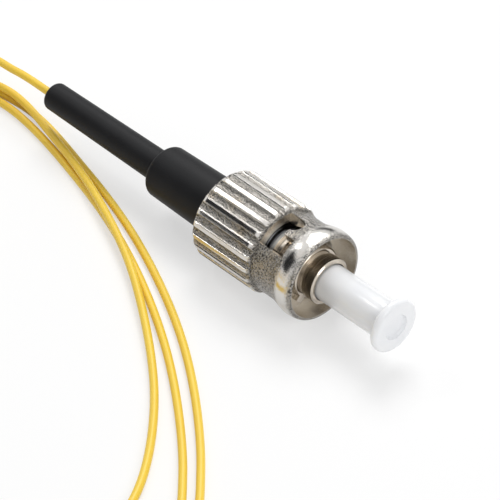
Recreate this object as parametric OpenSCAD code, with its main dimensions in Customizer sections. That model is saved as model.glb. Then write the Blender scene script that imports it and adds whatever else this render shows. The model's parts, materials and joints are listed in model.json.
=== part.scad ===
// Single-fibre bayonet connector on a tight-buffered pigtail, with its dust cap on.
// The connector lies on the floor, its axis along X, the fibre end towards +X.
// Stations are distances along that axis from the free end of the boot's tail.

/* [Boot] */
// Length of the slim tail, from its free end to the shoulder
boot_tail_len = 18; // [16:0.1:20]
// Diameter of the tail at its free end
boot_tail_d = 3.2; // [2.8:0.02:3.4]
// Diameter of the tail at the foot of the shoulder
boot_tail_root_d = 3.52; // [3.3:0.02:4]
// Radius of the rounded shoulder
shoulder_r = 0.6; // [0.3:0.05:0.8]
// Radius of the hollow corner at the foot of the shoulder
shoulder_foot_r = 0.2; // [0.1:0.05:0.3]
// Diameter in front of the shoulder
boot_body_d = 5.9; // [5.5:0.05:6.2]
// Diameter at the front end, inside the coupling nut
boot_front_d = 6.3; // [5.8:0.05:6.6]
// Length of the thick part, from the shoulder to the front end
boot_body_len = 11.2; // [10:0.1:14]
// Radius of the tail's rounded end
boot_edge_r = 0.4; // [0.1:0.05:0.5]

/* [Coupling nut] */
// Length of the coupling nut
nut_len = 14.5; // [13.5:0.1:17]
// Diameter over the rib crests of the grip
grip_d = 10.3; // [10:0.05:12]
// Length of the fluted grip
grip_len = 8.5; // [7.5:0.1:9]
// Number of flutes round the grip
flutes = 22; // [16:1:26]
// Radius of each concave flute
flute_r = 0.55; // [0.4:0.05:0.7]
// Depth of each flute below the crests
flute_depth = 0.38; // [0.2:0.02:0.45]
// Length over which the ribs round off at each end
rib_end_len = 0.7; // [0.3:0.05:1]
// Height that the ribs lose over that length
rib_end_drop = 0.46; // [0.2:0.02:0.46]
// Diameter of the neck between the grip and the front ring
neck_d = 9.3; // [9:0.05:9.5]
// How far the ring's crown stays inside the line that the grip rests on
ring_drop = 0.03; // [0.01:0.01:0.2]
// Length of the flare from the neck to the ring's crown
flare_len = 2.4; // [1.5:0.1:2.6]
// Length of the rounded nose from the crown to the front edge
nose_len = 1.25; // [1:0.05:2]
// Thickness of the front lip
lip_t = 0.14; // [0.1:0.02:0.4]
// Bore that slides over the mating barrel
nut_bore_d = 7.1; // [7:0.05:7.3]
// Diameter of the cavity inside the front ring
ring_cavity_d = 9.16; // [8.8:0.02:9.2]
// Depth of that cavity from the front edge
ring_cavity_len = 2.4; // [1.8:0.1:2.6]
// Depth of the rear recess that takes the boot's front end
recess_len = 2; // [1.6:0.1:2.4]
// Thickness of the wall between the recess and the spring chamber
rear_wall_t = 1; // [0.8:0.1:1.4]

/* [Cam slots] */
// Width of the entry, where a lug comes in from the ring
entry_w = 2.15; // [1.9:0.05:2.4]
// Width of the tongue between the entry and the pocket
tongue_w = 0.72; // [0.5:0.02:1]
// Diameter of the round pocket that holds the lug
pocket_d = 2.08; // [1.9:0.02:2.2]
// Distance from the slot's rear edge to the tip of the tongue
tongue_gap = 1.8; // [1.7:0.1:2.1]
// Distance from the slot's rear edge to the front of the pocket
pocket_reach = 2.65; // [2.4:0.05:2.8]
// Direction of the pocket round the axis, from straight down
pocket_angle = 180; // [170:1:190]

/* [Plug body] */
// Diameter of the collar round the ferrule
collar_d = 5.15; // [4.9:0.05:5.3]
// How far the collar stands in front of the nut
collar_reach = 0.85; // [0.5:0.05:1.5]
// Length of the collar in front of the guide ring
collar_len = 1.95; // [1.6:0.05:2.4]
// Diameter of the guide ring, which enters the mating barrel
guide_d = 5.9; // [5.7:0.05:6]
// Length of the guide ring
guide_len = 1.8; // [1.4:0.1:2.1]
// Width and length of the key lug
key_w = 0.85; // [0.6:0.05:1.1]
// Height of the key lug above the guide ring
key_h = 0.5; // [0.3:0.05:0.55]
// Direction of the key lug round the axis, from straight down
key_angle = 314; // [300:1:330]
// Diameter of the waist behind the guide ring
waist_d = 5.1; // [4.8:0.1:5.4]
// Diameter of the flange that the spring pushes on
flange_d = 6; // [5.9:0.05:6.4]
// Thickness of that flange
flange_t = 0.9; // [0.7:0.1:1.2]
// Diameter of the stem that the nut turns on
stem_d = 4.1; // [4:0.05:4.3]
// Diameter of the rear post
post_d = 3.5; // [3.4:0.05:3.6]
// Length of the rear post behind the retaining clip
post_len = 5.8; // [5:0.1:6.4]
// Bore for the guide tube
body_bore_d = 1.9; // [1.85:0.01:2]

/* [Ferrule and fibre] */
// Diameter of the ferrule
ferrule_d = 2.5; // [2.499:0.001:2.5]
// Length of the ferrule
ferrule_len = 11.5; // [10.5:0.1:12.5]
// How far the ferrule stands in front of the collar
ferrule_reach = 5.1; // [4.5:0.1:5.6]
// Chamfer at the ferrule's tip
ferrule_chamfer = 0.35; // [0.2:0.05:0.5]
// Diameter of the glass fibre
glass_d = 0.125; // [0.125:0.001:0.126]
// Diameter of the buffered fibre
buffer_d = 0.9; // [0.85:0.01:0.95]
// Wall of the guide tube and of the strain-relief tube
tube_wall = 0.38; // [0.3:0.01:0.4]

/* [Spring and small parts] */
// Wire diameter of the spring
wire_d = 0.38; // [0.3:0.01:0.4]
// Mean diameter of the spring's coils
coil_d = 5.2; // [5.1:0.05:5.4]
// Number of coils, with the closed one at each end
coil_turns = 8; // [5:0.5:8]
// Thickness of the two washers
washer_t = 0.4; // [0.3:0.05:0.5]
// Thickness of the retaining clip
clip_t = 0.5; // [0.4:0.05:0.6]
// Outer diameter of the retaining clip
clip_d = 5.8; // [5.4:0.1:6]
// Length of the crimp sleeve's wide part
crimp_len = 6.9; // [6:0.1:7.2]
// Wall of the crimp sleeve
crimp_wall = 0.48; // [0.4:0.02:0.55]
// Length of the crimp sleeve's narrow tail
crimp_tail_len = 2.6; // [2:0.1:3]

/* [Dust cap] */
// Outer diameter of the cap's tube
cap_d = 4.1; // [3.9:0.05:4.2]
// Diameter of the cap's end flange
cap_flange_d = 6; // [5.6:0.05:6.4]
// Thickness of the cap's end flange
cap_flange_t = 0.95; // [0.8:0.05:1.2]
// Distance from the collar's front edge to the flange's face
cap_reach = 9.5; // [9:0.1:11]
// How far the cap enters the collar
cap_insert = 2.1; // [1.6:0.1:2.2]
// Diameter of the dish in the flange's face
dish_d = 2.9; // [2.4:0.1:3.2]
// Depth of that dish
dish_depth = 0.35; // [0.2:0.05:0.5]

/* [Clearances] */
// Radial clearance of parts that turn or slide on each other
running_gap = 0.05; // [0.03:0.01:0.08]
// Clearance between parts that only lie beside each other
loose_gap = 0.1; // [0.05:0.01:0.15]
// Radial clearance between the boot and the nut's recess
boot_gap = 0.2; // [0.15:0.05:0.3]

/* [Hidden] */

$fn = 96;
eps = 0.01;
arc_steps = 9;

// Stations along the axis
boot_front_z = boot_tail_len + boot_body_len;
clip_z = boot_front_z + loose_gap;
wall_z = clip_z + clip_t + running_gap;
nut_z = wall_z - recess_len;
nut_front_z = nut_z + nut_len;
chamber_z = wall_z + rear_wall_t;
crown_z = nut_front_z - nose_len;
ledge_z = nut_front_z - ring_cavity_len;
slot_z = nut_z + grip_len + loose_gap;
collar_z = nut_front_z + collar_reach;
guide_z = collar_z - collar_len;
cap_seat_z = collar_z - cap_insert - loose_gap;
waist_z = guide_z - guide_len;
ferrule_tip_z = collar_z + ferrule_reach;
ferrule_z = ferrule_tip_z - ferrule_len;
cap_face_z = collar_z + cap_reach;
cap_z = collar_z - cap_insert;
post_z = clip_z - post_len;
waist_len = 1.35;
flange_z = waist_z - waist_len - flange_t;
spring_z = chamber_z + washer_t;
spring_end_z = flange_z - washer_t;
crimp_z = boot_front_z - loose_gap - crimp_len;
crimp_tail_z = crimp_z - crimp_tail_len;
buffer_end_z = ferrule_z - 1;
total_len = cap_face_z;

// Radii that follow from neighbouring parts
flute_pitch = 360 / flutes;
crest_r = grip_d / 2;
flute_mid_r = crest_r - flute_depth + flute_r;
flute_half = acos((crest_r ^ 2 + flute_mid_r ^ 2 - flute_r ^ 2) / (2 * crest_r * flute_mid_r));
rest_r = crest_r * cos(flute_half);
ring_r = rest_r - ring_drop;
neck_r = neck_d / 2;
cavity_r = ring_cavity_d / 2;
recess_r = boot_front_d / 2 + boot_gap;
stem_hole_r = stem_d / 2 + running_gap;
collar_hole_r = cap_d / 2 + loose_gap;
cap_bore_r = ferrule_d / 2 + 0.02;
crimp_r = post_d / 2 + running_gap + crimp_wall;
tube_r = buffer_d / 2 + running_gap + tube_wall;
crimp_tail_r = tube_r + running_gap + crimp_wall;
funnel_r = 0.6;
funnel_len = 1;
axis_z = rest_r;

// Slot directions round the axis, from straight down
pocket_half = asin(pocket_d / 2 / neck_r);
tongue_turn = 2 * asin(tongue_w / 2 / neck_r);
entry_turn = 2 * asin(entry_w / 2 / neck_r);
slot_from = pocket_angle - pocket_half;
tongue_from = pocket_angle + pocket_half;
entry_from = tongue_from + tongue_turn;
slot_to = entry_from + entry_turn;

// Route of the fibre on the floor, from the boot to the start of the coil.
// It leaves the boot, turns round to the left, and comes back three times.
cord_r = buffer_d / 2;
over = 3 * cord_r + 0.02;
coil_x = -25;
coil_y = -27;
coil_in_r = 5.5;
coil_out_r = 8.2;
coil_layers = 3;
coil_start_r = coil_out_r - cord_r;
route = [
    [-total_len / 2, 0, axis_z], [-33, 0.1, 4.8], [-41.5, 0, 3.1], [-50.5, -7, 0.9],
    [-52.4, -21, cord_r], [-34, -47, cord_r],
    [17, -51.8, cord_r], [31, -45.4, cord_r], [31.6, -33.6, cord_r],
    [24.6, -24.7, cord_r], [11, -14.4, cord_r], [-4, -6.9, cord_r], [-19, -2.2, cord_r],
    [-33, 0.1, cord_r],
    [-45, -4.4, cord_r], [-47.8, -22, cord_r], [-19, -46.6, cord_r],
    [15, -50.4, cord_r], [28, -45, cord_r], [29.6, -34, cord_r],
    [24, -26.5, cord_r], [11, -16.6, cord_r], [-3, -9.1, cord_r], [-17, -4.2, cord_r],
    [-33, -1.2, cord_r],
    [-42.5, -4.2, cord_r], [-45.4, -13.5, cord_r], [-35, -32, cord_r], [-10, -45, cord_r],
    [12, -48, cord_r], [24.4, -41.6, cord_r],
    [23.4, -32.4, cord_r], [14, -21.3, cord_r], [0, -11.4, 1.05], [-12, -5.7, over],
    [-24, -1.9, over], [-34.5, 0, over],
    [-41.3, -3.4, over], [-42.4, -11, 0.9],
    [coil_x - coil_start_r, coil_y, cord_r]];
rings_per_leg = 2;

// Catmull-Rom curve: the point at u (0 to 1) between p1 and p2
function curve_point(p0, p1, p2, p3, u) =
    0.5 * (2 * p1 + (p2 - p0) * u + (2 * p0 - 5 * p1 + 4 * p2 - p3) * u * u
    + (3 * p1 - p0 - 3 * p2 + p3) * u * u * u);

// Points along a smooth curve through a list of points, so many to each leg
function smooth(points, per_leg) =
    let (n = len(points),
        before = 2 * points[0] - points[1],
        after = points[n - 1] + [0, -6, 0])
    [for (i = [0:n - 2], k = [0:per_leg - 1])
        curve_point(i == 0 ? before : points[i - 1], points[i], points[i + 1],
            i == n - 2 ? after : points[i + 2], k / per_leg),
        points[n - 1]];

// The same points, none lower than a fibre lying on the floor
function lifted(points) = [for (p = points) [p.x, p.y, max(p.z, cord_r)]];

// One closed ring of points round a path point, square to its direction
function ring_points(centre, dir, r, sides) =
    let (t = dir / norm(dir), side = cross(t, [0, 0, 1]), s = side / norm(side), u = cross(s, t))
    [for (k = [0:sides - 1]) centre + r * (cos(360 * k / sides) * s + sin(360 * k / sides) * u)];

// A round tube swept along a path, closed at both ends
module swept_tube(path, r, sides) {
    n = len(path);
    points = [for (i = [0:n - 1])
        each ring_points(path[i], path[min(i + 1, n - 1)] - path[max(i - 1, 0)], r, sides)];
    sides_faces = [for (i = [0:n - 2], k = [0:sides - 1])
        each [[i * sides + k, i * sides + (k + 1) % sides, (i + 1) * sides + (k + 1) % sides],
        [i * sides + k, (i + 1) * sides + (k + 1) % sides, (i + 1) * sides + k]]];
    start_cap = [[for (k = [0:sides - 1]) sides - 1 - k]];
    end_cap = [[for (k = [0:sides - 1]) (n - 1) * sides + k]];
    polyhedron(points, concat(sides_faces, start_cap, end_cap));
}

// Puts a part that is drawn upright along Z onto the connector's axis.
// Its own +X then points straight down.
module on_axis() {
    translate([-total_len / 2, 0, axis_z]) rotate([0, 90, 0]) children();
}

// A turned ring between two radii and two stations
module turned(r_in, r_out, z0, z1) {
    rotate_extrude() translate([r_in, z0]) square([r_out - r_in, z1 - z0]);
}

// A sector of the circle between two directions less than 120 degrees apart
module sector(from, to, r) {
    mid = (from + to) / 2;
    polygon([[0, 0], r * [cos(from), sin(from)], 1.5 * r * [cos(mid), sin(mid)], r * [cos(to), sin(to)]]);
}

module boot() {
    tail_r = boot_tail_d / 2;
    root_r = boot_tail_root_d / 2;
    body_r = boot_body_d / 2;
    front_r = boot_front_d / 2;
    quarter = [for (i = [0:arc_steps]) 90 * i / arc_steps];
    tail_edge = [for (a = quarter)
        [tail_r - boot_edge_r * (1 - sin(a)), boot_edge_r * (1 - cos(a))]];
    foot = [for (a = quarter) [root_r + shoulder_foot_r * (1 - cos(a)),
        boot_tail_len - shoulder_foot_r * (1 - sin(a))]];
    shoulder = [for (a = quarter)
        [body_r - shoulder_r * (1 - sin(a)), boot_tail_len + shoulder_r * (1 - cos(a))]];
    color("#2f3032") on_axis() difference() {
        rotate_extrude() polygon(concat([[0, 0]], tail_edge, foot, shoulder,
            [[front_r, boot_front_z], [0, boot_front_z]]));
        translate([0, 0, -eps]) cylinder(r = buffer_d / 2 + running_gap, h = boot_front_z);
        translate([0, 0, crimp_tail_z - 1]) cylinder(r = crimp_tail_r + loose_gap, h = boot_front_z);
        translate([0, 0, crimp_z - loose_gap]) cylinder(r = crimp_r + loose_gap, h = boot_front_z);
    }
}

module flute_cuts() {
    for (i = [0:flutes - 1])
        rotate(i * flute_pitch) translate([flute_mid_r, 0])
            circle(r = flute_r, $fn = 32);
}

// The grip's lengthwise outline, with its two outer corners rounded
module grip_outline() {
    quarter = [for (i = [0:arc_steps]) 90 * i / arc_steps];
    foot_r = crest_r - rib_end_drop;
    rear = [for (a = quarter)
        [foot_r + rib_end_drop * sin(a), rib_end_len * (1 - cos(a))]];
    front = [for (a = quarter)
        [foot_r + rib_end_drop * cos(a), grip_len - rib_end_len * (1 - sin(a))]];
    polygon(concat([[0, 0]], rear, front, [[0, grip_len]]));
}

module grip() {
    intersection() {
        linear_extrude(grip_len) difference() {
            circle(r = crest_r);
            flute_cuts();
        }
        rotate_extrude() grip_outline();
    }
}

// Neck, flare, crown and rounded nose of the nut
module neck_and_ring() {
    lip_r = cavity_r + lip_t;
    flare_z = crown_z - flare_len;
    quarter = [for (i = [0:arc_steps]) 90 * i / arc_steps];
    flare = [for (i = [0:2 * arc_steps]) let (t = i / (2 * arc_steps))
        [neck_r + (ring_r - neck_r) * (1 - cos(180 * t)) / 2, flare_z + flare_len * t]];
    nose = [for (a = quarter)
        [lip_r + (ring_r - lip_r) * cos(a), crown_z + nose_len * sin(a)]];
    rotate_extrude() polygon(concat([[0, nut_z + grip_len / 2], [neck_r, nut_z + grip_len / 2]],
        flare, nose, [[0, nut_front_z]]));
}

// One cam slot: entry from the ring, tongue and round pocket
module cam_slot() {
    far = grip_d;
    translate([0, 0, slot_z]) linear_extrude(tongue_gap) sector(slot_from, slot_to, far);
    translate([0, 0, slot_z]) linear_extrude(ledge_z - slot_z - loose_gap)
        sector(entry_from, slot_to, far);
    translate([0, 0, slot_z]) linear_extrude(ledge_z - slot_z + loose_gap)
        intersection() {
            sector(entry_from, slot_to, far);
            circle(r = cavity_r - loose_gap);
        }
    rotate(pocket_angle) translate([0, 0, slot_z + pocket_reach - pocket_d / 2])
        rotate([0, 90, 0]) cylinder(d = pocket_d, h = far, $fn = 48);
}

module coupling_nut() {
    color("#b9b4ab") on_axis() difference() {
        union() {
            translate([0, 0, nut_z]) grip();
            neck_and_ring();
        }
        translate([0, 0, nut_z - eps]) cylinder(r = recess_r, h = recess_len + eps);
        cylinder(r = stem_hole_r, h = nut_front_z);
        translate([0, 0, chamber_z]) cylinder(d = nut_bore_d, h = nut_len);
        translate([0, 0, ledge_z]) cylinder(r = cavity_r, h = nut_len);
        for (k = [0, 1]) rotate(180 * k) cam_slot();
    }
}

module plug_body() {
    edge = 0.15;
    groove_r = post_d / 2 - loose_gap;
    color("#a39a8b") on_axis() {
        difference() {
            rotate_extrude() polygon([[0, post_z], [post_d / 2, post_z], [post_d / 2, clip_z - eps],
                [groove_r, clip_z - eps], [groove_r, clip_z + clip_t + eps],
                [stem_d / 2, clip_z + clip_t + eps], [stem_d / 2, flange_z],
                [flange_d / 2, flange_z], [flange_d / 2, flange_z + flange_t],
                [waist_d / 2, flange_z + flange_t], [waist_d / 2, waist_z],
                [guide_d / 2 - edge, waist_z], [guide_d / 2, waist_z + edge],
                [guide_d / 2, guide_z - edge], [guide_d / 2 - edge, guide_z],
                [collar_d / 2 - edge, guide_z], [collar_d / 2 - edge, guide_z + 2 * edge],
                [collar_d / 2, guide_z + 3 * edge], [collar_d / 2, collar_z - edge],
                [collar_d / 2 - edge, collar_z], [0, collar_z]]);
            translate([0, 0, post_z - eps]) cylinder(d = body_bore_d, h = ferrule_z - post_z);
            translate([0, 0, ferrule_z - loose_gap]) cylinder(d = ferrule_d, h = ferrule_len);
            translate([0, 0, cap_seat_z]) cylinder(r = collar_hole_r, h = cap_reach);
        }
        rotate(key_angle) translate([guide_d / 2 - key_h, -key_w / 2, guide_z - key_w])
            cube([2 * key_h, key_w, key_w]);
    }
}

module ferrule() {
    tip_r = ferrule_d / 2 - ferrule_chamfer;
    color("#f2f1ec") on_axis() difference() {
        rotate_extrude() polygon([[0, ferrule_z], [ferrule_d / 2, ferrule_z],
            [ferrule_d / 2, ferrule_tip_z - 1.5 * ferrule_chamfer], [tip_r, ferrule_tip_z],
            [0, ferrule_tip_z]]);
        cylinder(d = glass_d, h = total_len, $fn = 24);
        translate([0, 0, ferrule_z - eps])
            cylinder(r1 = funnel_r, r2 = glass_d / 2, h = funnel_len, $fn = 48);
    }
}

module glass_fibre() {
    color("#dfe8ea") on_axis()
        translate([0, 0, buffer_end_z]) cylinder(d = glass_d, h = ferrule_tip_z - buffer_end_z, $fn = 24);
}

// Cured adhesive in the funnel behind the ferrule, round the glass
module epoxy_bead() {
    color("#c9a24a") on_axis() difference() {
        translate([0, 0, ferrule_z])
            cylinder(r1 = funnel_r - eps, r2 = glass_d / 2, h = funnel_len - 2 * eps, $fn = 48);
        cylinder(d = glass_d, h = total_len, $fn = 24);
    }
}

module buffered_fibre() {
    color("#ebcb4f") on_axis() cylinder(d = buffer_d, h = buffer_end_z, $fn = 48);
}

module guide_tube() {
    color("#dcdcd6") on_axis()
        turned(buffer_d / 2 + running_gap, tube_r, clip_z, ferrule_z - loose_gap);
}

module strain_tube() {
    color("#e8e8e4") on_axis()
        turned(buffer_d / 2 + running_gap, tube_r, crimp_tail_z - 0.8, post_z + 0.6);
}

module crimp_sleeve() {
    neck_z = post_z - 0.6;
    color("#c2c4c6") on_axis() rotate_extrude() polygon([
        [tube_r + running_gap, crimp_tail_z], [crimp_tail_r, crimp_tail_z],
        [crimp_tail_r, crimp_z - 0.2], [crimp_r, crimp_z + 0.6], [crimp_r, crimp_z + crimp_len],
        [crimp_r - crimp_wall, crimp_z + crimp_len], [crimp_r - crimp_wall, neck_z],
        [tube_r + running_gap, neck_z - 0.4]]);
}

// Split ring in the groove behind the nut's rear wall
module retaining_clip() {
    color("#8e8f90") on_axis() translate([0, 0, clip_z]) linear_extrude(clip_t) difference() {
        circle(d = clip_d);
        circle(r = post_d / 2 - loose_gap);
        translate([0, -stem_d / 4]) square([clip_d, stem_d / 2]);
    }
}

module thrust_washer() {
    color("#a9abad") on_axis()
        turned(stem_hole_r, nut_bore_d / 2 - loose_gap, chamber_z, chamber_z + washer_t);
}

module front_washer() {
    color("#b4b6b8") on_axis()
        turned(stem_hole_r, flange_d / 2 - eps, flange_z - washer_t, flange_z);
}

module spring() {
    steps = 18;
    first_z = spring_z + wire_d / 2;
    last_z = spring_end_z - wire_d / 2;
    closed_pitch = wire_d + 0.02;
    open_pitch = (last_z - first_z - 2 * closed_pitch) / (coil_turns - 2);
    // Height of the wire after t turns: one closed turn, the open ones, one closed turn
    path = [for (i = [0:coil_turns * steps]) let (t = i / steps,
        z = closed_pitch * (min(t, 1) + max(t - coil_turns + 1, 0))
        + open_pitch * min(max(t - 1, 0), coil_turns - 2))
        [coil_d / 2 * cos(360 * t), coil_d / 2 * sin(360 * t), first_z + z]];
    color("#77787a") on_axis() swept_tube(path, wire_d / 2, 8);
}

module dust_cap() {
    flange_r = cap_flange_d / 2;
    bull_r = cap_flange_t / 2;
    fillet = 0.3;
    cavity_end = cap_face_z - dish_depth - 1;
    dish_r = dish_d / 2;
    bull = [for (i = [0:2 * arc_steps]) let (a = -90 + 90 * i / arc_steps)
        [flange_r - bull_r * (1 - cos(a)), cap_face_z - bull_r * (1 - sin(a))]];
    foot = [for (i = [0:arc_steps]) let (a = 90 * i / arc_steps)
        [cap_d / 2 + fillet * (1 - cos(a)), cap_face_z - cap_flange_t - fillet * (1 - sin(a))]];
    dish = [for (i = [0:arc_steps]) let (a = 90 * i / arc_steps)
        [dish_r - dish_depth * (1 - cos(a)), cap_face_z - dish_depth * sin(a)]];
    color("#e9eaec") on_axis() rotate_extrude() polygon(concat(
        [[cap_bore_r, cap_z], [cap_d / 2, cap_z]], foot, bull, dish,
        [[0, cap_face_z - dish_depth], [0, cavity_end], [cap_bore_r, cavity_end]]));
}

module cord_run() {
    color("#ebcb4f") swept_tube(lifted(smooth(route, rings_per_leg)), cord_r, 8);
}

// The put-away length, as the outer shape of its round coil
module cord_coil() {
    color("#ebcb4f") translate([coil_x, coil_y, 0])
        turned(coil_in_r, coil_out_r, 0, coil_layers * buffer_d);
}

dust_cap();
ferrule();
glass_fibre();
epoxy_bead();
plug_body();
coupling_nut();
front_washer();
spring();
thrust_washer();
retaining_clip();
guide_tube();
strain_tube();
crimp_sleeve();
boot();
buffered_fibre();
cord_run();
cord_coil();
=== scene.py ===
"""A single-fibre bayonet connector on its buffered pigtail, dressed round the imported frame."""

import json
import logging
import math
from dataclasses import dataclass
from enum import Enum
from typing import Any

import bmesh
import bpy
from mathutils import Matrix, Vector


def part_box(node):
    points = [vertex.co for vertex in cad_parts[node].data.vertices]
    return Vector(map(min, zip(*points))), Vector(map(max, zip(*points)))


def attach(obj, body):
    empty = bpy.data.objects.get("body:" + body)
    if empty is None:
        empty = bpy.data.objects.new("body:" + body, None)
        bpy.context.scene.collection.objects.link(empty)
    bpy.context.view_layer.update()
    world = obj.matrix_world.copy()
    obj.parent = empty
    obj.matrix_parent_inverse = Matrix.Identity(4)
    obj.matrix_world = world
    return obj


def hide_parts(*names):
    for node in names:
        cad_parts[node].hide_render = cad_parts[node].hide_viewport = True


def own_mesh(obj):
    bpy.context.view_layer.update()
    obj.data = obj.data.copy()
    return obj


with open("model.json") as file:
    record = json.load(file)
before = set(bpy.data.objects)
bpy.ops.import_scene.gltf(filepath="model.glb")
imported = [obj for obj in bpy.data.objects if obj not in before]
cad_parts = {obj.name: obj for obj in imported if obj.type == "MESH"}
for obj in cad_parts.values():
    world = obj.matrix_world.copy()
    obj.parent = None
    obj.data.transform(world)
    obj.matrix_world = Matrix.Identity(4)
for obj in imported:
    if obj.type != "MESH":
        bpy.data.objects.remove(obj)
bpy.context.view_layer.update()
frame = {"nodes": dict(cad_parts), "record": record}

log = logging.getLogger("pigtail")

MM = 0.001
# Place of the axis: stations run along it from the free end of the boot's tail
TAIL_X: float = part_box("boot")[0].x
AXIS_Z: float = frame["record"]["mounts"][0]["pos_m"][2]
LATHE_STEPS = 144
ARC_STEPS = 12
# Points closer than the first are one point, and edges shorter than the second go, in metres
MERGE_DISTANCE = 1e-7
SLIVER_LENGTH = 1e-6
# Edges sharper than this stay sharp on turned and wrapped pieces
SHARP_DEGREES = 50.0


# ---------------------------------------------------------------- colour and nodes


def linear(code: str) -> tuple[float, float, float, float]:
    """Turns an sRGB hex colour to linear light.

    Args:
        code: the colour, such as "#EBCB4F".

    Returns:
        Red, green, blue and an alpha of 1.
    """
    channels = []
    for start in (1, 3, 5):
        value = int(code[start:start + 2], 16) / 255
        channels.append(value / 12.92 if value <= 0.04045 else ((value + 0.055) / 1.055) ** 2.4)
    return (channels[0], channels[1], channels[2], 1.0)


def add(tree: bpy.types.NodeTree, kind: str, settings: dict[str, Any] | None = None,
        inputs: dict[Any, Any] | None = None) -> bpy.types.Node:
    """Adds a node with its settings and links.

    Args:
        tree: the tree that gets the node.
        kind: the node's type name.
        settings: attributes of the node, set before its sockets.
        inputs: socket name or number to a value, a node or an output socket.

    Returns:
        The new node.
    """
    node = tree.nodes.new(kind)
    for key, value in (settings or {}).items():
        setattr(node, key, value)
    for key, value in (inputs or {}).items():
        if isinstance(value, bpy.types.Node):
            value = value.outputs[0]
        if isinstance(value, bpy.types.NodeSocket):
            tree.links.new(value, node.inputs[key])
        else:
            node.inputs[key].default_value = value
    return node


# ---------------------------------------------------------------- finishes


@dataclass(frozen=True)
class Finish:
    """A surface finish, plain over the whole piece.

    The sizes of its pattern are in millimetres.
    """

    name: str
    colour: str
    roughness: float
    metallic: float = 0.0
    ior: float = 1.5
    specular: float = 0.5
    grain_mm: float = 0.15
    grain_height_mm: float = 0.004

    def build(self) -> bpy.types.Material:
        """Makes the material.

        Returns:
            The material, with its node tree filled in.
        """
        material = bpy.data.materials.new(self.name)
        material.use_nodes = True
        tree = material.node_tree
        tree.nodes.clear()
        settings = {"Base Color": linear(self.colour), "Roughness": self.roughness, "Metallic": self.metallic}
        if self.metallic < 1:
            settings["IOR"] = self.ior
            settings["Specular IOR Level"] = self.specular
        shader = add(tree, "ShaderNodeBsdfPrincipled", inputs=settings)
        add(tree, "ShaderNodeOutputMaterial", inputs={"Surface": shader})
        place = add(tree, "ShaderNodeTexCoord").outputs["Object"]
        self.pattern(tree, shader, place)
        return material

    def pattern(self, tree: bpy.types.NodeTree, shader: bpy.types.Node, place: bpy.types.NodeSocket) -> None:
        """Gives the surface its fine grain.

        Args:
            tree: the material's tree.
            shader: its surface shader.
            place: the point on the piece, in metres.
        """
        grain = add(tree, "ShaderNodeTexNoise", inputs={
            "Vector": place, "Scale": 1 / (self.grain_mm * MM), "Detail": 2.0})
        bump = add(tree, "ShaderNodeBump", inputs={
            "Height": grain, "Distance": self.grain_height_mm * MM, "Strength": 1.0})
        tree.links.new(bump.outputs[0], shader.inputs["Normal"])


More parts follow.
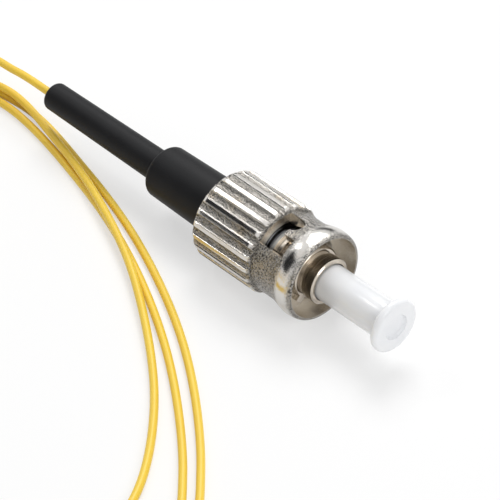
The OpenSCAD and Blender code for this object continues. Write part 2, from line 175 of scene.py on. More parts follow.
@dataclass(frozen=True)
class DieCastNickel(Finish):
    """Nickel over a zinc die casting: mirror-like crests over pitted hollows, coloured with painted shade,
    dark spots that are partly real pits and partly painted dark reflections, patches of painted yellow
    reflection, and inner walls painted lighter.
    """

    # Painted shade: the hollows below the rib crests are coloured darker than the crests
    hollow_shade_colour: str = "#A6A29C"
    # Painted light: the inner walls are coloured lighter, in place of their bright reflections
    inner_painted_light_colour: str = "#D2CCC2"
    # Dark spots in the hollows: partly real pits, partly painted dark reflections
    pit_and_dark_reflection_colour: str = "#2E2C29"
    # Painted reflection: warm patches stand in for the yellow buffer mirrored in the nickel
    yellow_reflection_colour: str = "#B29A6C"
    hollow_roughness: float = 0.27
    pit_mm: float = 0.17
    pit_depth_mm: float = 0.11
    yellow_reflection_mm: float = 2.2
    edge_mm: float = 0.07
    yellow_reflection_from: float = 0.52
    yellow_reflection_to: float = 0.75
    yellow_reflection_share: float = 0.35
    pit_and_reflection_from: float = 0.49
    pit_and_reflection_to: float = 0.57
    pit_and_reflection_share: float = 0.9
    crest_relief: float = 0.12
    inner_mm: float = 4.6
    crest_from_mm: float = 4.86
    crest_to_mm: float = 5.08

    def pattern(self, tree: bpy.types.NodeTree, shader: bpy.types.Node, place: bpy.types.NodeSocket) -> None:
        """Pits and roughens what lies below the rib crests and paints shade on it, with dark spots that are
        partly painted dark reflections; adds patches of painted yellow reflection, paints the inner walls
        lighter, and softens the edges.

        Args:
            tree: the material's tree.
            shader: its surface shader.
            place: the point on the piece, in metres.
        """
        centred = add(tree, "ShaderNodeMapping", inputs={"Vector": place, "Location": (0, 0, -AXIS_Z)})
        across = add(tree, "ShaderNodeVectorMath", {"operation": "MULTIPLY"}, {0: centred, 1: (0, 1, 1)})
        radius = add(tree, "ShaderNodeVectorMath", {"operation": "LENGTH"}, {0: across}).outputs["Value"]
        hollow = add(tree, "ShaderNodeMapRange", {"interpolation_type": "SMOOTHSTEP"}, {
            "Value": radius, "From Min": self.crest_from_mm * MM, "From Max": self.crest_to_mm * MM,
            "To Min": 1.0, "To Max": 0.0})
        pits = add(tree, "ShaderNodeTexNoise", inputs={
            "Vector": place, "Scale": 1 / (self.pit_mm * MM), "Detail": 3.0, "Roughness": 0.6})
        # Painted reflection: patches of the yellow buffer's colour on the nickel
        patches = add(tree, "ShaderNodeTexNoise", inputs={
            "Vector": place, "Scale": 1 / (self.yellow_reflection_mm * MM), "Detail": 2.0})
        yellow_reflection_amount = add(tree, "ShaderNodeMapRange", {}, {
            "Value": patches, "From Min": self.yellow_reflection_from, "From Max": self.yellow_reflection_to,
            "To Min": 0.0, "To Max": self.yellow_reflection_share})
        # Painted shade: a darker colour in the hollows below the crests
        shaded_hollows = add(tree, "ShaderNodeMix", {"data_type": "RGBA"}, {
            0: hollow, 6: linear(self.colour), 7: linear(self.hollow_shade_colour)})
        cast = add(tree, "ShaderNodeMix", {"data_type": "RGBA"}, {
            0: yellow_reflection_amount, 6: shaded_hollows.outputs[2], 7: linear(self.yellow_reflection_colour)})
        # Dark spots: partly real pits, partly painted dark reflections of the surroundings
        pit_and_reflection_mask = add(tree, "ShaderNodeMapRange", {}, {
            "Value": pits, "From Min": self.pit_and_reflection_from, "From Max": self.pit_and_reflection_to,
            "To Min": 0.0, "To Max": self.pit_and_reflection_share})
        outside = add(tree, "ShaderNodeMath", {"operation": "GREATER_THAN"}, {
            0: radius, 1: self.inner_mm * MM})
        pitted = add(tree, "ShaderNodeMath", {"operation": "MULTIPLY"}, {0: hollow, 1: outside})
        spots = add(tree, "ShaderNodeMath", {"operation": "MULTIPLY"}, {0: pit_and_reflection_mask, 1: pitted})
        # Painted light: the inner walls are coloured lighter, in place of their bright reflections
        lit = add(tree, "ShaderNodeMix", {"data_type": "RGBA"}, {
            0: outside, 6: linear(self.inner_painted_light_colour), 7: cast.outputs[2]})
        speckled = add(tree, "ShaderNodeMix", {"data_type": "RGBA"}, {
            0: spots, 6: lit.outputs[2], 7: linear(self.pit_and_dark_reflection_colour)})
        tree.links.new(speckled.outputs[2], shader.inputs["Base Color"])
        gloss = add(tree, "ShaderNodeMapRange", {}, {
            "Value": hollow, "To Min": self.roughness, "To Max": self.hollow_roughness})
        tree.links.new(gloss.outputs[0], shader.inputs["Roughness"])
        depth = add(tree, "ShaderNodeMapRange", {}, {
            "Value": pitted, "To Min": self.crest_relief, "To Max": 1.0})
        height = add(tree, "ShaderNodeMath", {"operation": "MULTIPLY"}, {0: pits, 1: depth})
        soft = add(tree, "ShaderNodeBevel", {"samples": 4}, {"Radius": self.edge_mm * MM})
        bump = add(tree, "ShaderNodeBump", inputs={
            "Height": height, "Distance": self.pit_depth_mm * MM, "Strength": 1.0, "Normal": soft})
        tree.links.new(bump.outputs[0], shader.inputs["Normal"])


@dataclass(frozen=True)
class TurnedMetal(Finish):
    """Metal turned on a lathe: fine rings round the axis, brighter and darker by turns."""

    ring_mm: float = 0.16
    ring_stretch: float = 0.06
    shade_from: float = 0.4
    shade_to: float = 0.68
    shade_share: float = 0.75
    dark_colour: str = "#857A6D"
    edge_mm: float = 0.06

    def pattern(self, tree: bpy.types.NodeTree, shader: bpy.types.Node, place: bpy.types.NodeSocket) -> None:
        """Draws the tool's rings, coarser than real so that they show, and softens the edges.

        Args:
            tree: the material's tree.
            shader: its surface shader.
            place: the point on the piece, in metres.
        """
        along = add(tree, "ShaderNodeVectorMath", {"operation": "MULTIPLY"}, {
            0: place, 1: (1, self.ring_stretch, self.ring_stretch)})
        rings = add(tree, "ShaderNodeTexNoise", inputs={
            "Vector": along, "Scale": 1 / (self.ring_mm * MM), "Detail": 2.0})
        shade = add(tree, "ShaderNodeMapRange", {}, {
            "Value": rings, "From Min": self.shade_from, "From Max": self.shade_to,
            "To Min": 0.0, "To Max": self.shade_share})
        colour = add(tree, "ShaderNodeMix", {"data_type": "RGBA"}, {
            0: shade, 6: linear(self.colour), 7: linear(self.dark_colour)})
        tree.links.new(colour.outputs[2], shader.inputs["Base Color"])
        soft = add(tree, "ShaderNodeBevel", {"samples": 4}, {"Radius": self.edge_mm * MM})
        bump = add(tree, "ShaderNodeBump", inputs={
            "Height": rings, "Distance": self.grain_height_mm * MM, "Strength": 1.0, "Normal": soft})
        tree.links.new(bump.outputs[0], shader.inputs["Normal"])


@dataclass(frozen=True)
class MouldedPlastic(Finish):
    """Moulded or extruded plastic: fine satin grain, a little light carried under the skin."""

    under_skin: float = 0.0
    under_skin_mm: float = 0.6
    mottle_mm: float = 3.0
    mottle_from: float = 0.3
    mottle_to: float = 0.7
    mottle_colour: str = "#FFFFFF"
    mottle_share: float = 0.1

    def pattern(self, tree: bpy.types.NodeTree, shader: bpy.types.Node, place: bpy.types.NodeSocket) -> None:
        """Gives the grain, the soft glow under the skin and faint uneven patches.

        Args:
            tree: the material's tree.
            shader: its surface shader.
            place: the point on the piece, in metres.
        """
        super().pattern(tree, shader, place)
        patches = add(tree, "ShaderNodeTexNoise", inputs={
            "Vector": place, "Scale": 1 / (self.mottle_mm * MM), "Detail": 3.0})
        share = add(tree, "ShaderNodeMapRange", {}, {
            "Value": patches, "From Min": self.mottle_from, "From Max": self.mottle_to,
            "To Min": 0.0, "To Max": self.mottle_share})
        colour = add(tree, "ShaderNodeMix", {"data_type": "RGBA"}, {
            0: share, 6: linear(self.colour), 7: linear(self.mottle_colour)})
        tree.links.new(colour.outputs[2], shader.inputs["Base Color"])
        shader.inputs["Subsurface Weight"].default_value = self.under_skin
        shader.inputs["Subsurface Radius"].default_value = (1.0, 1.0, 1.0)
        shader.inputs["Subsurface Scale"].default_value = self.under_skin_mm * MM


class Finishes(Enum):
    """The finishes of the connector, one for each real material and how it was made."""

    # Black thermoplastic rubber, moulded: a broad dim sheen with a fine satin grain
    BOOT = MouldedPlastic("moulded_black_rubber", "#131315", 0.5, ior=1.5, specular=0.16, grain_mm=0.12,
                          grain_height_mm=0.01, mottle_colour="#1C1D1F", mottle_share=0.5)
    # Low-density polyethylene, moulded: milky, with light carried through its thin walls
    CAP = MouldedPlastic("moulded_polyethylene", "#F5F6F8", 0.2, ior=1.51, grain_mm=0.5,
                         grain_height_mm=0.003, under_skin=0.35, under_skin_mm=0.8,
                         mottle_colour="#E6E8ED", mottle_share=0.4)
    # Plasticised vinyl, extruded: even yellow with a soft satin gloss
    BUFFER = MouldedPlastic("extruded_yellow_vinyl", "#F3CF42", 0.42, ior=1.52, grain_mm=0.3,
                            grain_height_mm=0.002, under_skin=0.1, under_skin_mm=0.3,
                            mottle_mm=9.0, mottle_colour="#EBC13A", mottle_share=0.35)
    # Zinc, die cast and nickel plated: bright crests over pitted hollows, with painted shade and painted dark
    # reflections in the hollows, painted yellow reflections, and inner walls painted lighter
    NUT = DieCastNickel("die_cast_nickel", "#D3D0CB", 0.15, 1.0)
    # Brass, turned and nickel plated: warm bright rings
    BODY = TurnedMetal("turned_nickelled_brass", "#D0C7BA", 0.2, 1.0)
    # Music wire, drawn and coiled: dark, with thin bright lines along it
    SPRING = Finish("drawn_spring_wire", "#6E6E70", 0.24, 1.0, grain_height_mm=0.002)
    # Zirconia, ground: smooth cream white with a hard gloss
    FERRULE = Finish("ground_zirconia", "#F2F1EC", 0.12, ior=2.1, grain_height_mm=0.0005)
    # Silica, drawn: a clear grey thread
    GLASS = Finish("drawn_silica", "#DFE8EA", 0.05, ior=1.46, grain_height_mm=0.0002)
    # Epoxy, cured: amber and glossy
    EPOXY = Finish("cured_epoxy", "#C9A24A", 0.1, ior=1.55, grain_height_mm=0.0005)
    # Steel, stamped: dull grey with a slight tumble grain
    STAMPED = Finish("stamped_steel", "#A9ABAD", 0.35, 1.0, grain_height_mm=0.003)
    # Brass, drawn and nickel plated: even grey metal
    CRIMP = TurnedMetal("drawn_nickelled_brass", "#C2C4C6", 0.3, 1.0)
    # Polyamide tube, extruded: off-white and slightly glossy
    TUBE = Finish("extruded_polyamide", "#DCDCD6", 0.35, ior=1.53)


# ---------------------------------------------------------------- meshes


def on_axis(station: float, radius: float, turn: float) -> Vector:
    """Gives a point round the connector's axis.

    Args:
        station: distance in millimetres from the free end of the boot's tail.
        radius: distance in millimetres from the axis.
        turn: direction round the axis in radians, from straight down.

    Returns:
        The point, in metres.
    """
    return Vector((TAIL_X + station * MM, radius * MM * math.sin(turn),
                   AXIS_Z - radius * MM * math.cos(turn)))


def arc(centre: tuple[float, float], size: tuple[float, float], start: float, end: float,
        steps: int = ARC_STEPS) -> list[tuple[float, float]]:
    """Gives the points of an elliptic arc in an outline of station and radius.

    Args:
        centre: the arc's centre.
        size: its half width along the axis and its half height.
        start: first direction in degrees, from the axis's own direction.
        end: last direction in degrees.
        steps: number of chords.

    Returns:
        The points, both ends among them.
    """
    points = []
    for step in range(steps + 1):
        angle = math.radians(start + (end - start) * step / steps)
        points.append((centre[0] + size[0] * math.cos(angle), centre[1] + size[1] * math.sin(angle)))
    return points


def shade_smooth(mesh: bpy.types.Mesh, sharp_degrees: float) -> None:
    """Smooths the shading of a mesh, apart from edges sharper than an angle.

    Args:
        mesh: the mesh.
        sharp_degrees: the angle in degrees.
    """
    mesh.polygons.foreach_set("use_smooth", [True] * len(mesh.polygons))
    mesh.set_sharp_from_angle(angle=math.radians(sharp_degrees))
    mesh.update()


def closed_mesh(name: str, points: list[Vector], faces: list[tuple[int, ...]],
                sharp_degrees: float) -> bpy.types.Object:
    """Makes an object of a closed surface, its doubles merged and its faces outward.

    Args:
        name: the object's name.
        points: corner points, in metres.
        faces: corner numbers of each face.
        sharp_degrees: edges sharper than this stay sharp.

    Returns:
        The new object, linked to the scene.
    """
    mesh = bpy.data.meshes.new(name)
    mesh.from_pydata([tuple(point) for point in points], [], faces)
    work = bmesh.new()
    work.from_mesh(mesh)
    bmesh.ops.remove_doubles(work, verts=work.verts, dist=MERGE_DISTANCE)
    bmesh.ops.dissolve_degenerate(work, edges=work.edges, dist=SLIVER_LENGTH)
    bmesh.ops.recalc_face_normals(work, faces=work.faces)
    work.to_mesh(mesh)
    work.free()
    shade_smooth(mesh, sharp_degrees)
    piece = bpy.data.objects.new(name, mesh)
    bpy.context.scene.collection.objects.link(piece)
    return piece


def lathe(name: str, outline: list[tuple[float, float]]) -> bpy.types.Object:
    """Turns a closed outline round the connector's axis.

    Args:
        name: the object's name.
        outline: station and radius of each point, in millimetres.

    Returns:
        The turned piece.
    """
    count = len(outline)
    points = []
    for step in range(LATHE_STEPS):
        turn = 2 * math.pi * step / LATHE_STEPS
        points.extend(on_axis(station, radius, turn) for station, radius in outline)
    faces = []
    for step in range(LATHE_STEPS):
        here = step * count
        after = (step + 1) % LATHE_STEPS * count
        for i in range(count):
            j = (i + 1) % count
            faces.append((here + i, here + j, after + j, after + i))
    return closed_mesh(name, points, faces, SHARP_DEGREES)


def refined_copy(node: str, name: str, sharp_degrees: float) -> bpy.types.Object:
    """Copies a CAD node, merges its loose triangles and smooths its curved walls.

    Args:
        node: the CAD node's name.
        name: the copy's name.
        sharp_degrees: edges sharper than this stay sharp.

    Returns:
        The copy.
    """
    source = frame["nodes"][node].data
    points = [vertex.co.copy() for vertex in source.vertices]
    faces = [tuple(polygon.vertices) for polygon in source.polygons]
    return closed_mesh(name, points, faces, sharp_degrees)


def grown(name: str, tree: bpy.types.NodeTree, values: dict[str, Any]) -> bpy.types.Object:
    """Runs a geometry node tree once and keeps its result as a plain mesh.

    Args:
        name: the piece's name.
        tree: the node tree.
        values: value of each of its named inputs.

    Returns:
        The piece, with no modifier left on it.
    """
    piece = bpy.data.objects.new(name, bpy.data.meshes.new(name + "_seed"))
    bpy.context.scene.collection.objects.link(piece)
    modifier = piece.modifiers.new(tree.name, "NODES")
    modifier.node_group = tree
    for item in tree.interface.items_tree:
        if item.in_out == "INPUT" and item.name in values:
            modifier[item.identifier] = values[item.name]
    bpy.context.view_layer.update()
    graph = bpy.context.evaluated_depsgraph_get()
    mesh = bpy.data.meshes.new_from_object(piece.evaluated_get(graph))
    piece.modifiers.remove(modifier)
    mesh.name = name
    piece.data = mesh
    return piece


def fit(piece: bpy.types.Object, material: bpy.types.Material, body: str, slot: str, *nodes: str) -> None:
    """Dresses a finished piece and hangs it on its body in place of CAD nodes.

    Args:
        piece: the piece.
        material: its material.
        body: the body that it moves with.
        slot: the record's material slot; not used.
        nodes: the CAD nodes that it stands for.
    """
    piece.data.materials.clear()
    piece.data.materials.append(material)
    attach(piece, body)
    if nodes:
        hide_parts(*nodes)
    log.info("%s rides on %s", piece.name, body)


# ---------------------------------------------------------------- sub-assemblies


@dataclass
class Pigtail:
    """The buffered fibre: its run on the floor and the neat coil that it ends in. Sizes in millimetres."""

    buffer_d: float = 0.9
    length_m: float = 1.0
    coil_x: float = -25.0
    coil_y: float = -27.0
    coil_start_r: float = 7.75
    coil_turns: int = 8
    steps_per_leg: int = 14
    steps_per_turn: int = 48
    # Where each change of track starts, in turns, and its steps outwards and upwards
    tracks: tuple[tuple[float, int, int], ...] = (
        (0.75, -1, 0), (1.75, -1, 0), (2.5, 0, 1), (3.25, 1, 0),
        (4.25, 1, 0), (5.0, 0, 1), (5.75, -1, 0), (6.75, -1, 0))
    track_turns: float = 0.25
    tie_width: float = 1.6
    tie_t: float = 0.16
    tie_corner_r: float = 0.4
    tie_arc_steps: int = 6
    hump_gap: float = 0.02
    run_out: float = 6.0

    def route(self) -> list[Vector]:
        """Gives the run's own points, from the boot to the start of the coil.

        Returns:
            The points, in metres.
        """
        low = self.buffer_d / 2
        over = 3 * low + self.hump_gap
        points = (
            (-26.35, 0, AXIS_Z / MM), (-33, 0.1, 4.8), (-41.5, 0, 3.1), (-50.5, -7, 0.9),
            (-52.4, -21, low), (-34, -47, low),
            (17, -51.8, low), (31, -45.4, low), (31.6, -33.6, low),
            (24.6, -24.7, low), (11, -14.4, low), (-4, -6.9, low), (-19, -2.2, low),
            (-33, 0.1, low),
            (-45, -4.4, low), (-47.8, -22, low), (-19, -46.6, low),
            (15, -50.4, low), (28, -45, low), (29.6, -34, low),
            (24, -26.5, low), (11, -16.6, low), (-3, -9.1, low), (-17, -4.2, low),
            (-33, -1.2, low),
            (-42.5, -4.2, low), (-45.4, -13.5, low), (-35, -32, low), (-10, -45, low),
            (12, -48, low), (24.4, -41.6, low),
            (23.4, -32.4, low), (14, -21.3, low), (0, -11.4, 1.05), (-12, -5.7, over),
            (-24, -1.9, over), (-34.5, 0, over),
            (-41.3, -3.4, over), (-42.4, -11, 0.9),
            (self.coil_x - self.coil_start_r, self.coil_y, low))
        return [Vector(point) * MM for point in points]

    def smoothed(self) -> list[Vector]:
        """Runs a Catmull-Rom curve through the route, never lower than a fibre on the floor.

        Returns:
            The curve's points, in metres.
        """
        knots = self.route()
        knots.insert(0, 2 * knots[0] - knots[1])
        knots.append(knots[-1] + Vector((0, -self.run_out * MM, 0)))
        low = self.buffer_d / 2 * MM
        points = []
        for p0, p1, p2, p3 in zip(knots, knots[1:], knots[2:], knots[3:]):
            for step in range(self.steps_per_leg):
                u = step / self.steps_per_leg
                point = 0.5 * (2 * p1 + (p2 - p0) * u + (2 * p0 - 5 * p1 + 4 * p2 - p3) * u * u
                               + (3 * p1 - p0 - 3 * p2 + p3) * u * u * u)
                point.z = max(point.z, low)
                points.append(point)
        return points

    def turns(self) -> list[Vector]:
        """Winds the coil: three tracks inwards, three outwards on top, then inwards again.

        Returns:
            The coil's points, in metres.
        """
        points = []
        for step in range(self.coil_turns * self.steps_per_turn + 1):
            turn = step / self.steps_per_turn
            radius = self.coil_start_r
            height = self.buffer_d / 2
            for start, outwards, upwards in self.tracks:
                share = min(max((turn - start) / self.track_turns, 0.0), 1.0)
                share = share * share * (3 - 2 * share)
                radius += outwards * self.buffer_d * share
                height += upwards * self.buffer_d * share
            angle = math.pi + 2 * math.pi * turn
            points.append(Vector((self.coil_x + radius * math.cos(angle),
                                  self.coil_y + radius * math.sin(angle), height)) * MM)
        return points

    def build(self) -> bpy.types.Object:
        """Returns:
            The fibre.
        """
        points = self.smoothed() + self.turns()
        curve = bpy.data.curves.new("fibre_pigtail", "CURVE")
        curve.dimensions = "3D"
        curve.bevel_depth = self.buffer_d / 2 * MM
        curve.bevel_resolution = 4
        curve.use_fill_caps = True
        spline = curve.splines.new("POLY")
        spline.points.add(len(points) - 1)
        for place, point in zip(spline.points, points):
            place.co = (*point, 1.0)
        spline.use_smooth = True
        fibre = bpy.data.objects.new("fibre_pigtail", curve)
        bpy.context.scene.collection.objects.link(fibre)
        fit(fibre, Finishes.BUFFER.value.build(), "plug", "buffer", "cord_run", "cord_coil")
        tie = self.tie()
        fit(tie, Finishes.BOOT.value.build(), "plug", "boot")
        return fibre

    def tie(self) -> bpy.types.Object:
        """Makes the flat tie round the coil's section.

        Returns:
            The tie.
        """
        tracks = 3
        half = tracks * self.buffer_d / 2
        centre_r = self.coil_start_r + self.buffer_d / 2 - half
        corner = self.tie_corner_r
        straight = half - corner
        outline = []
        for corner_x, corner_z, first in ((1, 1, 0), (-1, 1, 90), (-1, -1, 180), (1, -1, 270)):
            outline.extend(arc((corner_x * straight, corner_z * straight), (corner, corner),
                               first, first + 90, self.tie_arc_steps))
        count = len(outline)
        points = []
        for across in (-self.tie_width / 2, self.tie_width / 2):
            for grow in (0.0, self.tie_t):
                for x, z in outline:
                    length = math.hypot(x, z)
                    x_out = x + grow * x / length
                    z_out = max(z + grow * z / length, -half)
                    points.append(Vector((self.coil_x + centre_r + x_out, self.coil_y + across,
                                          half + z_out)) * MM)
        faces = []
        for i in range(count):
            j = (i + 1) % count
            for a, b in ((0, 1), (1, 3), (3, 2), (2, 0)):
                faces.append((a * count + i, a * count + j, b * count + j, b * count + i))
        return closed_mesh("coil_tie", points, faces, SHARP_DEGREES)


@dataclass
class Boot:
    """The strain-relief boot, a moulded sleeve with a slim tail. Sizes in millimetres."""

    tail_len: float = 18.0
    tail_d: float = 3.2
    tail_root_d: float = 3.52
    shoulder_r: float = 0.6
    foot_r: float = 0.2
    body_d: float = 5.9
    front_d: float = 6.3
    body_len: float = 11.2
    edge_r: float = 0.4
    bore_d: float = 1.0
    bore_edge: float = 0.12

    def build(self) -> bpy.types.Object:
        """Makes the boot.

        Returns:
            The boot.
        """
        tail_r = self.tail_d / 2
        root_r = self.tail_root_d / 2
        body_r = self.body_d / 2
        front = self.tail_len + self.body_len
        bore = self.bore_d / 2
        outline = [(front, bore), (self.bore_edge, bore), (0, bore + self.bore_edge)]
        outline += arc((self.edge_r, tail_r - self.edge_r), (self.edge_r, self.edge_r), 180, 90)
        outline += arc((self.tail_len - self.foot_r, root_r + self.foot_r),
                       (self.foot_r, self.foot_r), 270, 360)
        outline += arc((self.tail_len + self.shoulder_r, body_r - self.shoulder_r),
                       (self.shoulder_r, self.shoulder_r), 180, 90)
        outline += [(front, self.front_d / 2)]
        boot = lathe("strain_relief_boot", outline)
        fit(boot, Finishes.BOOT.value.build(), "plug", "boot", "boot")
        return boot


@dataclass
class DustCap:
    """The push-on dust cap with its pull flange. Sizes in millimetres."""

    start: float = 41.1
    face: float = 52.7
    tube_d: float = 4.1
    bore_d: float = 2.54
    flange_d: float = 6.0
    flange_t: float = 0.95
    fillet: float = 0.3
    dish_d: float = 2.9
    dish_depth: float = 0.35
    floor_t: float = 1.0
    rim_edge: float = 0.1
    dish_steps: int = 10

    def build(self) -> bpy.types.Object:
        """Makes the cap.

        Returns:
            The cap.
        """
        tube_r = self.tube_d / 2
        flange_r = self.flange_d / 2
        bull = self.flange_t / 2
        dish_r = self.dish_d / 2
        inner_end = self.face - self.dish_depth - self.floor_t
        outline = [(inner_end, 0.0), (inner_end, self.bore_d / 2), (self.start, self.bore_d / 2)]
        outline += [(self.start, tube_r - self.rim_edge), (self.start + self.rim_edge, tube_r)]
        outline += arc((self.face - self.flange_t - self.fillet, tube_r + self.fillet),
                       (self.fillet, self.fillet), 270, 360)
        outline += arc((self.face - bull, flange_r - bull), (bull, bull), 180, 0, 2 * ARC_STEPS)
        outline += arc((self.face, dish_r - self.dish_depth), (self.dish_depth, self.dish_depth), 90, 180,
                       self.dish_steps)
        outline += [(self.face - self.dish_depth, 0.0)]
        cap = lathe("push_on_dust_cap", outline)
        fit(cap, Finishes.CAP.value.build(), "cap", "dust_cap", "dust_cap")
        return cap


@dataclass
class CompressionSpring:
    """The wire spring behind the flange, with one closed turn at each end. Sizes in millimetres."""

    start: float = 31.25
    end: float = 36.8
    wire_d: float = 0.38
    coil_d: float = 5.2
    turns: int = 8
    travel: float = 2.0
    steps_per_turn: int = 40
    wire_sides: int = 12
    closed_gap: float = 0.02

    def tree(self) -> bpy.types.NodeTree:
        """Makes the node tree that winds the wire and sweeps it.

        Returns:
            The tree, with named inputs for its sizes.
        """
        tree = bpy.data.node_groups.new("wound_spring", "GeometryNodeTree")
        sockets = (("Turns", "NodeSocketFloat"), ("Steps", "NodeSocketInt"),
                   ("Wire Radius", "NodeSocketFloat"),
                   ("Coil Radius", "NodeSocketFloat"), ("Closed Pitch", "NodeSocketFloat"),
                   ("Open Pitch", "NodeSocketFloat"), ("Sides", "NodeSocketInt"),
                   ("Start", "NodeSocketVector"), ("Finish", "NodeSocketMaterial"))
        for name, kind in sockets:
            tree.interface.new_socket(name, in_out="INPUT", socket_type=kind)
        tree.interface.new_socket("Geometry", in_out="OUTPUT", socket_type="NodeSocketGeometry")
        sizes = add(tree, "NodeGroupInput").outputs
        total = add(tree, "ShaderNodeMath", {"operation": "MULTIPLY"}, {0: sizes["Turns"], 1: sizes["Steps"]})
        count = add(tree, "ShaderNodeMath", {"operation": "ADD"}, {0: total, 1: 1.0})
        line = add(tree, "GeometryNodeMeshLine", {}, {"Count": count})
        wire = add(tree, "GeometryNodeMeshToCurve", {}, {"Mesh": line})
        index = add(tree, "GeometryNodeInputIndex")
        turn = add(tree, "ShaderNodeMath", {"operation": "DIVIDE"}, {0: index, 1: sizes["Steps"]})
        first = add(tree, "ShaderNodeMath", {"operation": "MINIMUM"}, {0: turn, 1: 1.0})
        last_from = add(tree, "ShaderNodeMath", {"operation": "SUBTRACT"}, {0: sizes["Turns"], 1: 1.0})
        past = add(tree, "ShaderNodeMath", {"operation": "SUBTRACT"}, {0: turn, 1: last_from})
        last = add(tree, "ShaderNodeMath", {"operation": "MAXIMUM"}, {0: past, 1: 0.0})
        closed = add(tree, "ShaderNodeMath", {"operation": "ADD"}, {0: first, 1: last})
        middle = add(tree, "ShaderNodeMath", {"operation": "SUBTRACT"}, {0: turn, 1: closed})
        low = add(tree, "ShaderNodeMath", {"operation": "MULTIPLY"}, {0: closed, 1: sizes["Closed Pitch"]})
        high = add(tree, "ShaderNodeMath", {"operation": "MULTIPLY"}, {0: middle, 1: sizes["Open Pitch"]})
        along = add(tree, "ShaderNodeMath", {"operation": "ADD"}, {0: low, 1: high})
        angle = add(tree, "ShaderNodeMath", {"operation": "MULTIPLY"}, {0: turn, 1: 2 * math.pi})
        sine = add(tree, "ShaderNodeMath", {"operation": "SINE"}, {0: angle})
        cosine = add(tree, "ShaderNodeMath", {"operation": "COSINE"}, {0: angle})
        side = add(tree, "ShaderNodeMath", {"operation": "MULTIPLY"}, {0: sine, 1: sizes["Coil Radius"]})
        down = add(tree, "ShaderNodeMath", {"operation": "MULTIPLY"}, {0: cosine, 1: sizes["Coil Radius"]})
        rise = add(tree, "ShaderNodeMath", {"operation": "MULTIPLY"}, {0: down, 1: -1.0})
        place = add(tree, "ShaderNodeCombineXYZ", {}, {"X": along, "Y": side, "Z": rise})
        moved = add(tree, "ShaderNodeVectorMath", {"operation": "ADD"}, {0: place, 1: sizes["Start"]})
        wound = add(tree, "GeometryNodeSetPosition", {}, {"Geometry": wire, "Position": moved})
        section = add(tree, "GeometryNodeCurvePrimitiveCircle", {}, {
            "Resolution": sizes["Sides"], "Radius": sizes["Wire Radius"]})
        swept = add(tree, "GeometryNodeCurveToMesh", {}, {
            "Curve": wound, "Profile Curve": section.outputs["Curve"], "Fill Caps": True})
        smooth = add(tree, "GeometryNodeSetShadeSmooth", {}, {0: swept})
        real = add(tree, "GeometryNodeRealizeInstances", {}, {0: smooth})
        dressed = add(tree, "GeometryNodeSetMaterial", {}, {"Geometry": real, "Material": sizes["Finish"]})
        add(tree, "NodeGroupOutput", {}, {"Geometry": dressed})
        return tree

    def build(self) -> bpy.types.Object:
        """Winds the spring.

        Returns:
            The spring.
        """
        material = Finishes.SPRING.value.build()
        closed_pitch = self.wire_d + self.closed_gap
        span = self.end - self.start - self.wire_d
        open_pitch = (span - 2 * closed_pitch) / (self.turns - 2)
        values = {"Turns": float(self.turns), "Steps": self.steps_per_turn,
                  "Wire Radius": self.wire_d / 2 * MM,
                  "Coil Radius": self.coil_d / 2 * MM, "Closed Pitch": closed_pitch * MM,
                  "Open Pitch": open_pitch * MM, "Sides": self.wire_sides,
                  "Start": on_axis(self.start + self.wire_d / 2, 0, 0), "Finish": material}
        spring = grown("compression_spring", self.tree(), values)
        fit(spring, material, "plug", "spring", "spring")
        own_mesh(spring)
        return spring


@dataclass
class CouplingNut:
    """The fluted coupling nut with its two cam slots, on the frame's own form."""

    sharp_degrees: float = 24.0

    def build(self) -> bpy.types.Object:
        """Makes the nut.

        Returns:
            The nut.
        """
        nut = refined_copy("coupling_nut", "fluted_coupling_nut", self.sharp_degrees)
        fit(nut, Finishes.NUT.value.build(), "nut", "nut", "coupling_nut")
        return nut


@dataclass
class PlugCore:
    """The turned body and the small parts on and in it, on the frame's own forms."""

    sharp_degrees: float = 30.0

    def build(self) -> bpy.types.Object:
        """Makes the body, and gives the inner parts their finishes.

        Returns:
            The body.
        """
        body = refined_copy("plug_body", "turned_plug_body", self.sharp_degrees)
        fit(body, Finishes.BODY.value.build(), "plug", "plug_body", "plug_body")
        inner = {"ferrule": Finishes.FERRULE, "glass_fibre": Finishes.GLASS, "epoxy_bead": Finishes.EPOXY,
                 "front_washer": Finishes.STAMPED, "thrust_washer": Finishes.STAMPED,
                 "retaining_clip": Finishes.STAMPED, "guide_tube": Finishes.TUBE,
                 "strain_tube": Finishes.TUBE, "crimp_sleeve": Finishes.CRIMP,
                 "buffered_fibre": Finishes.BUFFER}
        for node, finish in inner.items():
            part = frame["nodes"][node]
            part.data.materials.clear()
            part.data.materials.append(finish.value.build())
            log.info("%s is dressed as %s", node, finish.value.name)
        return body


# ---------------------------------------------------------------- studio


@dataclass(frozen=True)
class Lamp:
    """A square soft lamp that shines at the connector: its place and size in metres, its power in watts."""

    name: str
    place: tuple[float, float, float]
    size: float
    power: float


@dataclass(frozen=True)
class Card:
    """A flat card that faces the connector: its middle, width and height in metres."""

    name: str
    centre: tuple[float, float, float]
    width: float
    height: float


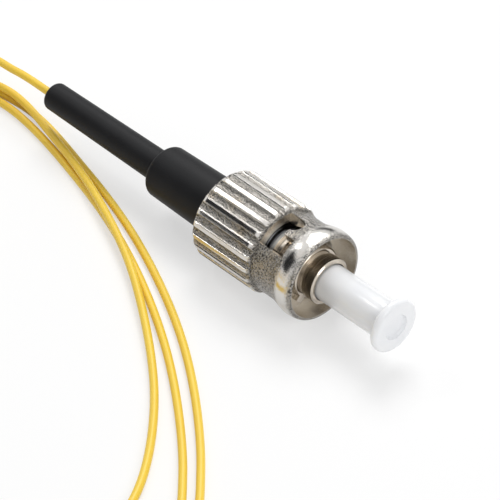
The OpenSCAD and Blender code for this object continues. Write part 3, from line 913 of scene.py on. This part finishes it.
@dataclass
class Studio:
    """The camera, the pale floor, the soft lamps and the dark cards that metal mirrors."""

    target: tuple[float, float, float] = (3.0, 1.84, 0.0)
    azimuth: float = -42.885
    elevation: float = 39.395
    distance: float = 334.6
    lens: float = 229.9
    floor_half: float = 1.5
    ambient: float = 0.42
    floor_white_share: float = 0.55
    lamps: tuple[Lamp, ...] = (
        Lamp("key", (-0.16, 0.22, 0.42), 0.26, 1.5),
        Lamp("fill", (0.34, -0.05, 0.26), 0.2, 0.5),
        Lamp("rim", (-0.3, -0.06, 0.36), 0.05, 0.12))
    cards: tuple[Card, ...] = (
        Card("card_left", (-0.33, -0.36, 0.26), 0.4, 0.4),
        Card("card_back", (-0.36, 0.46, 0.12), 0.3, 0.16),
        Card("card_front", (0.12, -0.5, 0.08), 0.4, 0.14))

    def camera(self) -> None:
        """Sets up the camera."""
        data = bpy.data.cameras.new("camera")
        data.lens = self.lens
        data.sensor_width = 36.0
        data.clip_start = 0.01
        camera = bpy.data.objects.new("camera", data)
        bpy.context.scene.collection.objects.link(camera)
        azimuth = math.radians(self.azimuth)
        elevation = math.radians(self.elevation)
        away = Vector((math.cos(elevation) * math.cos(azimuth), math.cos(elevation) * math.sin(azimuth),
                       math.sin(elevation)))
        camera.location = (Vector(self.target) + away * self.distance) * MM
        camera.rotation_euler = away.to_track_quat("Z", "Y").to_euler()
        bpy.context.scene.camera = camera

    def card(self, card: Card, material: bpy.types.Material) -> None:
        """Stands a card where only mirrors see it.

        Args:
            card: the card.
            material: its material.
        """
        centre = Vector(card.centre)
        turn = centre.to_track_quat("Z", "Y").to_matrix()
        corners = []
        for x, y in ((-1, -1), (1, -1), (1, 1), (-1, 1)):
            corners.append(centre + turn @ Vector((x * card.width / 2, y * card.height / 2, 0)))
        mesh = bpy.data.meshes.new(card.name)
        mesh.from_pydata([tuple(corner) for corner in corners], [], [(0, 1, 2, 3)])
        mesh.materials.append(material)
        stand = bpy.data.objects.new(card.name, mesh)
        bpy.context.scene.collection.objects.link(stand)
        stand.visible_camera = False
        stand.visible_diffuse = False
        stand.visible_shadow = False
        stand.visible_transmission = False

    def white_for_eyes(self, tree: bpy.types.NodeTree, shaded: bpy.types.Node, white: bpy.types.Node,
                       share: float) -> bpy.types.Node:
        """Mixes a shader with plain white where the camera, a mirror or a clear piece looks.

        Args:
            tree: the tree of the floor or the world.
            shaded: what other light meets.
            white: the plain white.
            share: how much of the white is mixed in.

        Returns:
            The mixed shader.
        """
        path = add(tree, "ShaderNodeLightPath").outputs
        eyes = add(tree, "ShaderNodeMath", {"operation": "MAXIMUM"}, {
            0: path["Is Camera Ray"], 1: path["Is Glossy Ray"]})
        all_eyes = add(tree, "ShaderNodeMath", {"operation": "MAXIMUM"}, {
            0: eyes, 1: path["Is Transmission Ray"]})
        amount = add(tree, "ShaderNodeMath", {"operation": "MULTIPLY"}, {0: all_eyes, 1: share})
        return add(tree, "ShaderNodeMixShader", {}, {0: amount, 1: shaded, 2: white})

    def floor(self) -> None:
        """Lays the pale floor, which keeps the shadow."""
        material = bpy.data.materials.new("pale_floor")
        material.use_nodes = True
        tree = material.node_tree
        tree.nodes.clear()
        matt = add(tree, "ShaderNodeBsdfDiffuse", {}, {"Color": linear("#F7F7F7")})
        white = add(tree, "ShaderNodeEmission", {}, {"Color": (1, 1, 1, 1), "Strength": 1.0})
        mixed = self.white_for_eyes(tree, matt, white, self.floor_white_share)
        add(tree, "ShaderNodeOutputMaterial", {}, {"Surface": mixed})
        half = self.floor_half
        mesh = bpy.data.meshes.new("floor")
        mesh.from_pydata([(-half, -half, 0), (half, -half, 0), (half, half, 0), (-half, half, 0)], [],
                         [(0, 1, 2, 3)])
        mesh.materials.append(material)
        floor = bpy.data.objects.new("floor", mesh)
        bpy.context.scene.collection.objects.link(floor)

    def world(self) -> None:
        """Makes the even white surround."""
        world = bpy.data.worlds.new("surround")
        bpy.context.scene.world = world
        world.use_nodes = True
        tree = world.node_tree
        tree.nodes.clear()
        even = add(tree, "ShaderNodeBackground", {}, {"Color": (1, 1, 1, 1), "Strength": self.ambient})
        white = add(tree, "ShaderNodeBackground", {}, {"Color": (1, 1, 1, 1), "Strength": 1.0})
        mixed = self.white_for_eyes(tree, even, white, 1.0)
        add(tree, "ShaderNodeOutputWorld", {}, {"Surface": mixed})

    def hang_lamps(self) -> None:
        """Hangs the soft lamps."""
        for lamp in self.lamps:
            data = bpy.data.lights.new(lamp.name, "AREA")
            data.size = lamp.size
            data.energy = lamp.power
            light = bpy.data.objects.new(lamp.name, data)
            light.location = lamp.place
            light.rotation_euler = Vector(lamp.place).to_track_quat("Z", "Y").to_euler()
            bpy.context.scene.collection.objects.link(light)

    def stand_cards(self) -> None:
        """Stands the dark cards, so that bright metal has dark bands."""
        material = bpy.data.materials.new("dark_card")
        material.use_nodes = True
        tree = material.node_tree
        tree.nodes.clear()
        dark = add(tree, "ShaderNodeBsdfDiffuse", {}, {"Color": linear("#2C2C2F")})
        add(tree, "ShaderNodeOutputMaterial", {}, {"Surface": dark})
        for card in self.cards:
            self.card(card, material)

    def build(self) -> None:
        """Sets up the whole studio round the connector."""
        self.floor()
        self.world()
        self.hang_lamps()
        self.stand_cards()
        bpy.context.scene.view_settings.view_transform = "Standard"
        log.info("studio is lit")


def main() -> None:
    """Sets up the camera, builds the connector's sub-assemblies in order, and sets up the studio."""
    logging.basicConfig(level=logging.INFO, format="%(name)s: %(message)s")
    studio = Studio()
    studio.camera()
    for assembly in (Pigtail(), Boot(), CouplingNut(), PlugCore(), CompressionSpring(), DustCap()):
        assembly.build()
    studio.build()


if __name__ == "__main__":
    main()
